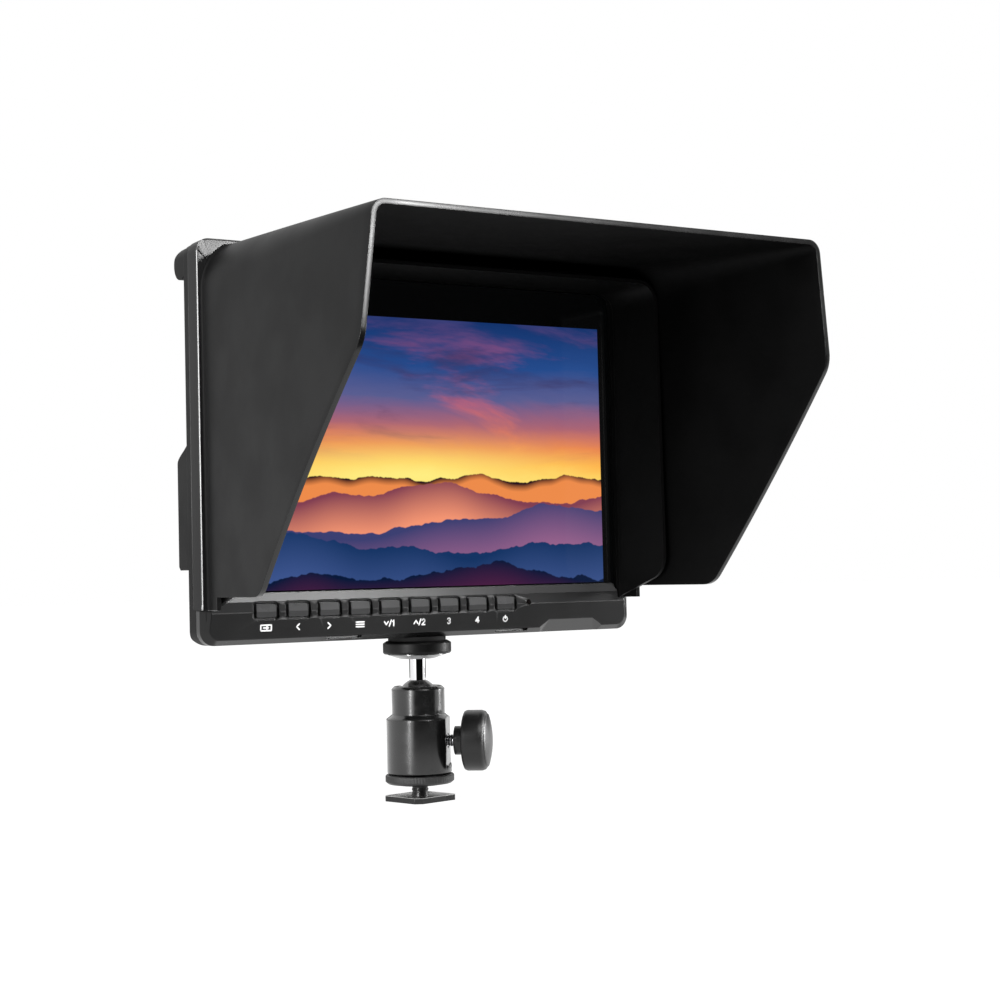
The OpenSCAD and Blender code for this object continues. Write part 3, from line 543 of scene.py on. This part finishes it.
ROOT_Y = -0.4                   # the frame's front face, where the shell starts
LENGTH = 114.9
WALL = 1.6
ROOF, FALL = 133.4, 7.6         # height of the roof at the root, and how far it falls to the front
TOP_HALF = (83.6, 80.65)        # half width at the roof's height
LOW_HALF = (83.0, 92.7)         # half width at the lower edge's height
CORNER = (16.5, 4.5)            # radius of the roof's corners
LOW_Z = 16.0                    # height of the lower edge behind the heel
TAB_Z, TAB_Y = 11.8, -8.2       # lower end and front end of the tab at the root
HEEL_Y, KNEE_Z = -48.7, 86.2    # where the lower edge turns up, and where the front edge begins
BEND = 10                       # radius at the heel and at the knee
KNEE_BACK = 1                   # how far the knee lies behind the front
# flare of the outer face: distance in front of the frame, and how far the face stands out there
COVE = [(0, 0.9), (0.3, 0.5), (0.7, 0.25), (1.3, 0.08), (2.2, 0)]
# rows of points: their distances from the frame down to the tab's front end, and how many lie in front of it
NEAR = [0, 0.3, 0.7, 1.3, 2.2, 5, ROOT_Y - TAB_Y]
TAIL = 24
CORNER_COLUMNS, ROOF_COLUMNS = 12, 8
# the inner face's finish is painted shade, a darker copy of the outer face's plastic
HOOD, RIM, SHADED_INSIDE = 0, 1, 2     # the skin's finishes

Section = namedtuple("Section", "half top radius lean cx cz")


def rounded(a, b, c, r, n):
    """Points of a rounded corner b between the lines to a and c."""
    a, b, c = Vector(a), Vector(b), Vector(c)
    u, w = (a - b).normalized(), (c - b).normalized()
    h = u.angle(w) / 2
    o = b + (u + w).normalized() * (r / math.sin(h))
    p, q = b + u * (r / math.tan(h)), b + w * (r / math.tan(h))
    start = math.atan2(p.y - o.y, p.x - o.x)
    turn = (math.atan2(q.y - o.y, q.x - o.x) - start + 3 * math.pi) % (2 * math.pi) - math.pi
    angles = [start + turn * i / n for i in range(n + 1)]
    return [o + r * Vector((math.cos(a), math.sin(a))) for a in angles]


def section(y):
    """The left half of the shell's section at depth y, with the centre (cx, cz) of its roof corner."""
    v = (ROOT_Y - y) / LENGTH
    half, low, radius = (root + (front - root) * v for root, front in (TOP_HALF, LOW_HALF, CORNER))
    top = ROOF - FALL * v
    lean = math.atan((low - half) / (top - LOW_Z))
    cx = -(half + radius * math.tan(lean) - radius / math.cos(lean))
    return Section(half, top, radius, lean, cx, top - radius)


def side_top(y):
    """Height at which the side panel runs into the roof corner."""
    s = section(y)
    return s.cz + s.radius * math.sin(s.lean)


def on_side(y, z):
    """Place (x, z) on the side panel at depth y and height z, and the face's direction there."""
    s = section(y)
    return (-(s.half + (s.top - z) * math.tan(s.lean)), z), (-math.cos(s.lean), math.sin(s.lean))


def on_corner(y, f):
    """Place and direction at the share f of the way round the roof corner."""
    s = section(y)
    a = math.pi - s.lean - (math.pi / 2 - s.lean) * f
    return (s.cx + s.radius * math.cos(a), s.cz + s.radius * math.sin(a)), (math.cos(a), math.sin(a))


def on_roof(y, f):
    """Place and direction at the share f of the way from the roof corner to the middle."""
    s = section(y)
    return (s.cx * (1 - f), s.top), (0.0, 1.0)


def cove(s):
    """How far the outer face flares out at the root, s millimetres in front of the frame."""
    for (s0, f0), (s1, f1) in zip(COVE, COVE[1:]):
        if s <= s1:
            return f0 + (f1 - f0) * (s - s0) / (s1 - s0)
    return 0.0


def free_edge():
    """Points (depth, height) along a side panel's free edge, round the heel and the knee to the corner."""
    heel, knee, aim = (HEEL_Y, LOW_Z), (-LENGTH + KNEE_BACK, KNEE_Z), (-LENGTH, 126)
    edge = rounded((TAB_Y, LOW_Z), heel, knee, BEND, 7)
    upper = rounded(heel, knee, aim, BEND, 7)
    edge += [edge[-1].lerp(upper[0], i / 14) for i in range(1, 14)]
    edge += upper
    last = Vector((-LENGTH + 0.1, side_top(-LENGTH)))
    return edge + [upper[-1].lerp(last, i / 8) for i in range(1, 9)]


def skin_columns():
    """Columns from the free edge to the roof's middle: the front end of each, and its place at any depth."""
    columns = []
    for p in free_edge():
        f = (p.y - LOW_Z) / (side_top(p.x) - LOW_Z)
        columns.append((p.x, lambda y, f=f: on_side(y, LOW_Z + f * (side_top(y) - LOW_Z))))
    for i in range(1, CORNER_COLUMNS + 1):
        f = i / CORNER_COLUMNS
        columns.append((-LENGTH + 0.1 - 0.1 * f, lambda y, f=f: on_corner(y, f)))
    for i in range(1, ROOF_COLUMNS + 1):
        columns.append((-LENGTH, lambda y, f=i / ROOF_COLUMNS: on_roof(y, f)))
    return columns


def skin_point(bm, y, place, inner, mirror):
    """A point of a column at depth y, on the outer face with its root cove, or on the inner face."""
    (x, z), (nx, nz) = place(y)
    if inner:
        x, z = x - WALL * nx, z - WALL * nz
    else:
        flare = cove(ROOT_Y - y)
        on_top = nz >= 0.9
        x, z = x + flare * nx, z + (0 if on_top else flare * nz)
    return bm.verts.new(part(-x if mirror else x, y, z))


def skin_grids(bm):
    """The outer and the inner grid of points, column by column from the left free edge to the right one."""
    root = [ROOT_Y - s for s in NEAR]
    spans = [(place, root + [TAB_Y + (end - TAB_Y) * k / TAIL for k in range(1, TAIL + 1)])
             for end, place in skin_columns()]
    grids = []
    for inner in (False, True):
        left = [[skin_point(bm, y, place, inner, False) for y in ys] for place, ys in spans]
        right = [[skin_point(bm, y, place, inner, True) for y in ys] for place, ys in spans[:-1]]
        grids.append(left + right[::-1])
    return grids


def skin_tabs(bm):
    """Two rows of points for each tab: outer and inner face, left and right."""
    rows = [lambda y, z=z: on_side(y, z) for z in (TAB_Z, (TAB_Z + LOW_Z) / 2)]
    return [[[[skin_point(bm, ROOT_Y - s, row, inner, mirror) for s in NEAR] for row in rows]
             for mirror in (False, True)] for inner in (False, True)]


def quad(bm, a, b, c, d, finish=HOOD):
    bm.faces.new((a, b, c, d)).material_index = finish


def skin_faces(bm, outer, inner):
    """Faces of both grids, and between them at the front and at the root. Returns the front rim's edges."""
    rims = []
    for i in range(len(outer) - 1):
        for j in range(len(outer[0]) - 1):
            for g, finish in ((outer, HOOD), (inner, SHADED_INSIDE)):
                corners = (g[i][j], g[i + 1][j], g[i + 1][j + 1], g[i][j + 1])
                quad(bm, *(corners if finish == HOOD else corners[::-1]), finish)
    for i in range(len(outer) - 1):
        quad(bm, outer[i][-1], outer[i + 1][-1], inner[i + 1][-1], inner[i][-1], RIM)
        quad(bm, outer[i][0], inner[i][0], inner[i + 1][0], outer[i + 1][0])
        rims += [(outer[i][-1], outer[i + 1][-1]), (inner[i][-1], inner[i + 1][-1])]
    return rims


def side_faces(bm, outer, inner, outer_tab, inner_tab):
    """Faces of one side's tab and of its lower edge in front of the tab. Returns their rims' edges."""
    k = len(NEAR) - 1
    o = [*outer_tab, outer[:k + 1]]
    q = [*inner_tab, inner[:k + 1]]
    rims = []
    for i in range(2):
        for j in range(k):
            quad(bm, o[i][j], o[i + 1][j], o[i + 1][j + 1], o[i][j + 1])
            quad(bm, q[i][j + 1], q[i + 1][j + 1], q[i + 1][j], q[i][j])
        quad(bm, o[i][k], o[i + 1][k], q[i + 1][k], q[i][k])
        quad(bm, o[i][0], q[i][0], q[i + 1][0], o[i + 1][0])
        rims += [(o[i][k], o[i + 1][k]), (q[i][k], q[i + 1][k])]
    for j in range(k):
        quad(bm, o[0][j], o[0][j + 1], q[0][j + 1], q[0][j])
        rims += [(o[0][j], o[0][j + 1]), (q[0][j], q[0][j + 1])]
    for j in range(k, len(outer) - 1):
        quad(bm, outer[j], outer[j + 1], inner[j + 1], inner[j], RIM)
        rims += [(outer[j], outer[j + 1]), (inner[j], inner[j + 1])]
    return rims


def hood_skin():
    """The hood's shell at a finer division, with a cove at its root, glossy rims, and a matt inner face
    painted darker than the outside as painted shade.
    """
    bm = bmesh.new()
    outer, inner = skin_grids(bm)
    outer_tabs, inner_tabs = skin_tabs(bm)
    rims = skin_faces(bm, outer, inner)
    for column, outer_tab, inner_tab in zip((0, -1), outer_tabs, inner_tabs):
        rims += side_faces(bm, outer[column], inner[column], outer_tab, inner_tab)
    bmesh.ops.recalc_face_normals(bm, faces=bm.faces)
    weight = bm.edges.layers.float.new("bevel_weight_edge")
    marked = {frozenset(pair) for pair in rims}
    for e in bm.edges:
        e[weight] = float(frozenset(e.verts) in marked)
    mesh = bpy.data.meshes.new("hood_skin")
    bm.to_mesh(mesh)
    bm.free()
    mesh.polygons.foreach_set("use_smooth", [True] * len(mesh.polygons))
    for m in (hood, rim, shaded_inside):
        mesh.materials.append(m.m)
    o = add_object("hood_skin", mesh)
    bevel = o.modifiers.new("rims", "BEVEL")
    bevel.limit_method = "WEIGHT"
    bevel.width = 0.78 * MM
    bevel.segments = 5
    bevel.material = RIM
    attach(o, "hood")
    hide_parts("hood_shell")
    return o


skin = hood_skin()


# Printed marks under the keys, in millimetres. A mark is a list of strokes round the mark's middle.

FIRST_KEY, KEY_PITCH = -62.7, 11.64
MARK_Z = 5.35           # height of the marks' middle
HALF_STROKE = 0.24
LIFT = 0.025            # how far the ink lies in front of the facet
DOT_SIDES = 10


def arc(cx, cz, r, a0, a1, n):
    angles = [math.radians(a0 + (a1 - a0) * i / n) for i in range(n + 1)]
    return [(cx + r * math.cos(a), cz + r * math.sin(a)) for a in angles]


def one(x):
    return [[(x - 0.35, 0.55), (x + 0.1, 0.95), (x + 0.1, -0.95)]]


def two(x):
    return [arc(x, 0.42, 0.53, 165, -35, 10) + [(x - 0.55, -0.95), (x + 0.6, -0.95)]]


def three(x):
    return [arc(x, 0.45, 0.5, 150, -80, 10), arc(x, -0.45, 0.52, 80, -150, 10)]


def four(x):
    return [[(x + 0.3, -0.95), (x + 0.3, 0.95), (x - 0.65, -0.4), (x + 0.7, -0.4)]]


FRAME = [(-1.9, -0.9), (1.9, -0.9), (1.9, 0.9), (-1.9, 0.9), (-1.9, -0.9)]
SLASH = [(-0.35, -1.0), (0.35, 1.0)]
MARKS = [
    [FRAME, [(-0.9, 0), (0.8, 0)], [(0.25, 0.45), (0.85, 0), (0.25, -0.45)]],
    [[(0.5, 0.95), (-0.5, 0), (0.5, -0.95)]],
    [[(-0.5, 0.95), (0.5, 0), (-0.5, -0.95)]],
    [[(-1.5, z), (1.5, z)] for z in (0.8, 0, -0.8)],
    [[(-2.3, 0.55), (-1.55, -0.5), (-0.8, 0.55)], SLASH] + one(1.25),
    [[(-2.3, -0.5), (-1.55, 0.55), (-0.8, -0.5)], SLASH] + two(1.4),
    three(0),
    four(0),
    [arc(0, -0.1, 0.85, 125, 415, 20), [(0, 0.15), (0, 1.1)]]]


def ink_face(bm, points):
    """A flat piece of ink on the chin's lower facet."""
    bm.faces.new([bm.verts.new(part(x, (FACET_TOP - z) / FACET_FALL - LIFT, z)) for x, z in points])


def ink_stroke(bm, x0, z0, x1, z1):
    length = math.hypot(x1 - x0, z1 - z0)
    nx, nz = -(z1 - z0) / length * HALF_STROKE, (x1 - x0) / length * HALF_STROKE
    ink_face(bm, [(x0 + nx, z0 + nz), (x0 - nx, z0 - nz), (x1 - nx, z1 - nz), (x1 + nx, z1 + nz)])


def ink_dot(bm, x, z):
    angles = [2 * math.pi * i / DOT_SIDES for i in range(DOT_SIDES)]
    ink_face(bm, [(x + HALF_STROKE * math.cos(a), z + HALF_STROKE * math.sin(a)) for a in angles])


def printed_marks():
    """Thin ink shapes: each line is a row of strokes with a round dot at each of its points."""
    bm = bmesh.new()
    for i, lines in enumerate(MARKS):
        middle = FIRST_KEY + KEY_PITCH * i
        for line in lines:
            points = [(middle + x, MARK_Z + z) for x, z in line]
            for (x0, z0), (x1, z1) in zip(points, points[1:]):
                ink_stroke(bm, x0, z0, x1, z1)
            for x, z in points:
                ink_dot(bm, x, z)
    for f in bm.faces:
        f.normal_update()
        if f.normal.y > 0:
            f.normal_flip()
    mesh = bpy.data.meshes.new("key_marks")
    bm.to_mesh(mesh)
    bm.free()
    mesh.materials.append(mark_ink().m)
    o = add_object("key_marks", mesh)
    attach(o, "monitor")
    return o


marks = printed_marks()


# Stage

def by_camera(tree):
    """1 for rays from the camera, off gloss or through glass."""
    path = tree.nodes.new("ShaderNodeLightPath")
    seen, result = tree.nodes.new("ShaderNodeMath"), tree.nodes.new("ShaderNodeMath")
    seen.operation = result.operation = "MAXIMUM"
    tree.links.new(path.outputs["Is Camera Ray"], seen.inputs[0])
    tree.links.new(path.outputs["Is Glossy Ray"], seen.inputs[1])
    tree.links.new(seen.outputs[0], result.inputs[0])
    tree.links.new(path.outputs["Is Transmission Ray"], result.inputs[1])
    return result.outputs[0]


def floor_material():
    """Plain pale for the light it gives back, and nearly white with a soft shadow where it is seen."""
    m = bpy.data.materials.new("floor_pale")
    m.use_nodes = True
    tree, nodes = m.node_tree, m.node_tree.nodes
    nodes.remove(nodes["Principled BSDF"])
    plain, faint = nodes.new("ShaderNodeBsdfDiffuse"), nodes.new("ShaderNodeBsdfDiffuse")
    plain.inputs["Color"].default_value = (0.8, 0.8, 0.8, 1)
    faint.inputs["Color"].default_value = (0.3, 0.3, 0.3, 1)
    glow = nodes.new("ShaderNodeEmission")
    glow.inputs["Color"].default_value = (1, 1, 1, 1)
    glow.inputs["Strength"].default_value = 0.93
    add, mix = nodes.new("ShaderNodeAddShader"), nodes.new("ShaderNodeMixShader")
    tree.links.new(faint.outputs[0], add.inputs[0])
    tree.links.new(glow.outputs[0], add.inputs[1])
    tree.links.new(by_camera(tree), mix.inputs[0])
    tree.links.new(plain.outputs[0], mix.inputs[1])
    tree.links.new(add.outputs[0], mix.inputs[2])
    tree.links.new(mix.outputs[0], nodes["Material Output"].inputs[0])
    return m


def lay_floor():
    half = 6
    corners = [(-half, -half, 0), (half, -half, 0), (half, half, 0), (-half, half, 0)]
    mesh = bpy.data.meshes.new("floor")
    mesh.from_pydata(corners, [], [(0, 1, 2, 3)])
    mesh.materials.append(floor_material())
    floor = add_object("floor", mesh)
    # just under the foot, so that the two faces don't share a plane
    floor.location.z = -0.02 * MM


def white_world():
    """Soft light from all round, which is seen as white."""
    world = bpy.data.worlds.new("world")
    bpy.context.scene.world = world
    world.use_nodes = True
    tree = world.node_tree
    back = tree.nodes["Background"]
    strength = tree.nodes.new("ShaderNodeMapRange")
    strength.inputs["To Min"].default_value = 0.42
    strength.inputs["To Max"].default_value = 1.0
    tree.links.new(by_camera(tree), strength.inputs["Value"])
    tree.links.new(strength.outputs[0], back.inputs["Strength"])
    back.inputs["Color"].default_value = (1, 1, 1, 1)


def around(azimuth, reach, height):
    """A place by its direction on the floor in degrees from +X, and its distance and height in metres."""
    return (reach * math.cos(math.radians(azimuth)), reach * math.sin(math.radians(azimuth)), height)


def dark_sweep(name, start, turn, profile, tone=0.004):
    """A black sweep around the object, which only reflections see: it gives gloss its contrast."""
    steps, n = 20, len(profile)
    azimuths = [start + turn * i / steps for i in range(steps + 1)]
    points = [around(azimuth, reach, height) for azimuth in azimuths for reach, height in profile]
    faces = [(i * n + k, (i + 1) * n + k, (i + 1) * n + k + 1, i * n + k + 1)
             for i in range(steps) for k in range(n - 1)]
    mesh = bpy.data.meshes.new(name)
    mesh.from_pydata(points, [], faces)
    m = bpy.data.materials.new(name)
    m.use_nodes = True
    shader = m.node_tree.nodes["Principled BSDF"]
    shader.inputs["Base Color"].default_value = (tone, tone, tone, 1)
    shader.inputs["Specular IOR Level"].default_value = 0
    mesh.materials.append(m)
    o = add_object(name, mesh)
    for kind in ("camera", "diffuse", "transmission", "shadow", "volume_scatter"):
        setattr(o, f"visible_{kind}", False)


lay_floor()
white_world()
dark_sweep("sweep_front", -138, 96, [(0.20, 0.0004), (1.3, 0.0004), (1.45, 0.1), (1.5, 0.5), (1.5, 1.1)])
dark_sweep("wall_back", 9, 104, [(0.40, 0.021), (0.40, 0.10)], 0.03)


# Lights: places and sizes in metres, power in watts

def lamp(name, place, target, size, watts, reach=None):
    """A soft box that points at a target. With reach it lights only those objects."""
    d = bpy.data.lights.new(name, "AREA")
    d.shape = "RECTANGLE"
    d.size, d.size_y = size
    d.energy = watts
    o = add_object(name, d)
    o.location = place
    o.rotation_euler = (Vector(target) - Vector(place)).to_track_quat("-Z", "Y").to_euler()
    if reach:
        group = bpy.data.collections.new(name + "_reach")
        for lit in reach:
            group.objects.link(lit)
        o.light_linking.receiver_collection = group
    return o


def glint(*settings):
    """A lamp that shows in gloss alone."""
    lamp(*settings).visible_diffuse = False


hood_frame, bezel, knob = (NODES[name] for name in ("hood_frame", "front_bezel", "clamp_knob"))
keys = [NODES[name] for name in KEYS]
head = [NODES[name] for name in ("ball_housing", "clamp_knob", "ball_stem", "ball")]
matt = [o for name, o in NODES.items() if name not in ("glass_border", "display_window")] + [skin]
matt_left = [o for o in matt if o not in (bezel, knob, hood_frame)]

# the studio's main light
lamp("key_left", (-1.1, -0.35, 0.75), (0, 0, 0.13), (0.8, 0.8), 4)
lamp("front_top", (0.0, -0.9, 1.1), (0, 0, 0.13), (1.0, 0.5), 8)
# edges of the monitor and the hood
glint("edge_left", around(-153, 1.15, 0.18), (0, 0, 0.10), (0.08, 0.6), 14, matt_left)
glint("edge_right", around(-12, 1.0, 0.14), (0, 0, 0.05), (0.10, 0.4), 6, matt)
glint("frame_edge", around(-150, 1.15, 0.20), (0, 0, 0.12), (1.0, 0.6), 60, [hood_frame])
lamp("rim_front", (0.42, -1.15, 0.40), (0, 0, 0.15), (0.16, 0.08), 6, [skin, hood_frame])
# creases, slopes and print of the chin
lamp("crease", around(-62, 1.2, 0.19), (0, 0, 0.07), (0.5, 0.05), 4, [bezel, marks] + keys)
slope = lamp("slope", (0.13, -0.12, 0.62), (0, -0.01, 0.073), (0.12, 0.12), 8, [bezel] + keys)
# the hood throws no shadow from this one
slope.light_linking.blocker_collection = slope.light_linking.receiver_collection
lamp("print", (-0.3, -1.0, 0.3), (0, 0, 0.07), (0.4, 0.4), 12, [marks])
# the ball head
glint("glint_left", around(-165, 1.0, 0.75), (0, 0, 0.04), (0.16, 0.16), 6, head)
glint("glint_right", around(-81, 1.0, 0.75), (0, 0, 0.04), (0.16, 0.16), 6, head)
lamp("knob_edge", around(-14, 1.0, 0.10), (0, 0, 0.03), (0.4, 0.5), 20, [knob])


# Camera, solved from the photographed display and case

def camera():
    yaw, pitch, roll = (math.radians(a) for a in (31.71, 2.29, -1.36))
    place = (-0.31618, -0.56981, 0.07908)
    ahead = Vector((math.sin(yaw) * math.cos(pitch), math.cos(yaw) * math.cos(pitch), math.sin(pitch)))
    level = Vector((math.cos(yaw), -math.sin(yaw), 0))
    upright = level.cross(ahead)
    right = math.cos(roll) * level + math.sin(roll) * upright
    up = -math.sin(roll) * level + math.cos(roll) * upright
    data = bpy.data.cameras.new("camera")
    data.sensor_width = 36
    data.lens = 66.19
    data.clip_start, data.clip_end = 0.01, 50
    o = add_object("camera", data)
    o.matrix_world = Matrix.Translation(place) @ Matrix((right, up, -ahead)).transposed().to_4x4()
    bpy.context.scene.camera = o


camera()
bpy.context.scene.view_settings.view_transform = "Standard"
